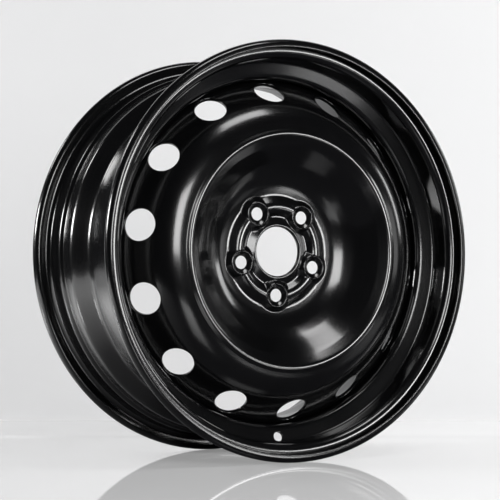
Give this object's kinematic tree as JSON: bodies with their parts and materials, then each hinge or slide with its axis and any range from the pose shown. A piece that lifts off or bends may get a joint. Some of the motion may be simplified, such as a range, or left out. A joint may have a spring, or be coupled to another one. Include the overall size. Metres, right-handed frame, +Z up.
{
  "type": "steel wheel",
  "caption": "Pressed steel car wheel: rolled drop-centre rim with a welded, dished disc, round vents, bolt holes and a centre bore, painted black.",
  "frame": {"origin": "centre of the wheel: on the axle line, midway between the two flanges", "axes": "+Y along the axle line towards the vehicle, -Y is the outboard face, +Z up, valve hole at the bottom"},
  "size_m": [0.471, 0.2032, 0.4712],
  "materials": {
    "black_paint": "satin gloss black"
  },
  "bodies": {
    "root": {"rim": "black_paint", "disc": "black_paint", "weld_beads": "black_paint"}
  },
  "joints": []
}
